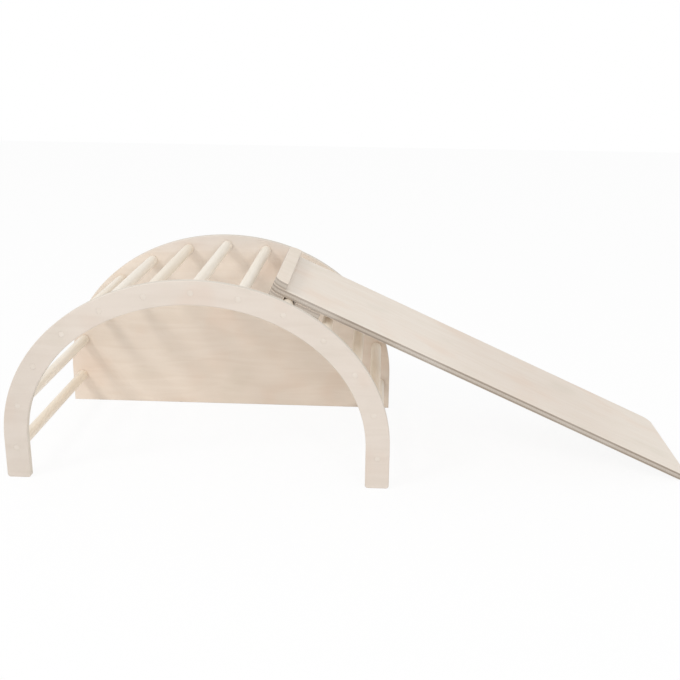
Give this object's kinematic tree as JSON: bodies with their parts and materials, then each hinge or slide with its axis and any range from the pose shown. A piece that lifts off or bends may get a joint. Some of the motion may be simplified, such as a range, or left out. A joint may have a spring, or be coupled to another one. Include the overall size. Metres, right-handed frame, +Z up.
{
  "type": "climbing arch with slide ramp",
  "caption": "Wooden climbing arch for small children: open plywood front, solid plywood rear panel, round rungs between them, and a slide board hooked over one rung.",
  "frame": {"origin": "on the floor, under the centre of the whole object's box", "axes": "+X from the arch towards the lower end of the ramp, +Y from the open front to the solid rear panel, +Z up"},
  "size_m": [1.7932, 0.593, 0.541],
  "materials": {
    "plywood": "pale birch plywood, sanded and clear matt lacquered, layered edges",
    "ramp_plywood": "pale birch plywood, sanded and clear matt lacquered, grey-brown layered edges",
    "dowel": "pale beech dowel, sanded, satin clear lacquer",
    "capped_screw": "wood-coloured round cover cap over the screw head",
    "bright_screw": "bright zinc-plated screw"
  },
  "bodies": {
    "arch_frame": {"front_arch": "plywood", "rear_panel": "plywood", "rung_01": "dowel", "rung_02": "dowel", "rung_03": "dowel", "rung_04": "dowel", "rung_05": "dowel", "rung_06": "dowel", "rung_07": "dowel", "rung_08": "dowel", "rung_09": "dowel", "rung_10": "dowel", "rung_11": "dowel", "rung_12": "dowel", "rung_13": "dowel", "front_screw_01": "capped_screw", "front_screw_02": "capped_screw", "front_screw_03": "capped_screw", "front_screw_04": "capped_screw", "front_screw_05": "capped_screw", "front_screw_06": "capped_screw", "front_screw_07": "capped_screw", "front_screw_08": "capped_screw", "front_screw_09": "capped_screw", "front_screw_10": "capped_screw", "front_screw_11": "capped_screw", "front_screw_12": "capped_screw", "front_screw_13": "capped_screw", "rear_screw_01": "capped_screw", "rear_screw_02": "capped_screw", "rear_screw_03": "capped_screw", "rear_screw_04": "capped_screw", "rear_screw_05": "capped_screw", "rear_screw_06": "capped_screw", "rear_screw_07": "capped_screw", "rear_screw_08": "capped_screw", "rear_screw_09": "capped_screw", "rear_screw_10": "capped_screw", "rear_screw_11": "capped_screw", "rear_screw_12": "capped_screw", "rear_screw_13": "capped_screw"},
    "slide_ramp": {"ramp_board": "ramp_plywood", "ramp_top_cleat": "ramp_plywood", "upper_hook_block": "ramp_plywood", "lower_hook_block": "ramp_plywood", "upper_block_screw_1": "bright_screw", "upper_block_screw_2": "bright_screw", "upper_block_screw_3": "bright_screw", "lower_block_screw_1": "bright_screw", "lower_block_screw_2": "bright_screw", "lower_block_screw_3": "bright_screw", "lower_block_screw_4": "bright_screw", "lower_block_screw_5": "bright_screw", "lower_block_screw_6": "bright_screw"}
  },
  "joints": [
    {"name": "ramp_tilt", "type": "hinge", "parent": "arch_frame", "child": "slide_ramp", "pos_m": [-0.16751, 0.006, 0.45915], "axis": [0, -1, 0], "range_deg": [0, 45]}
  ]
}
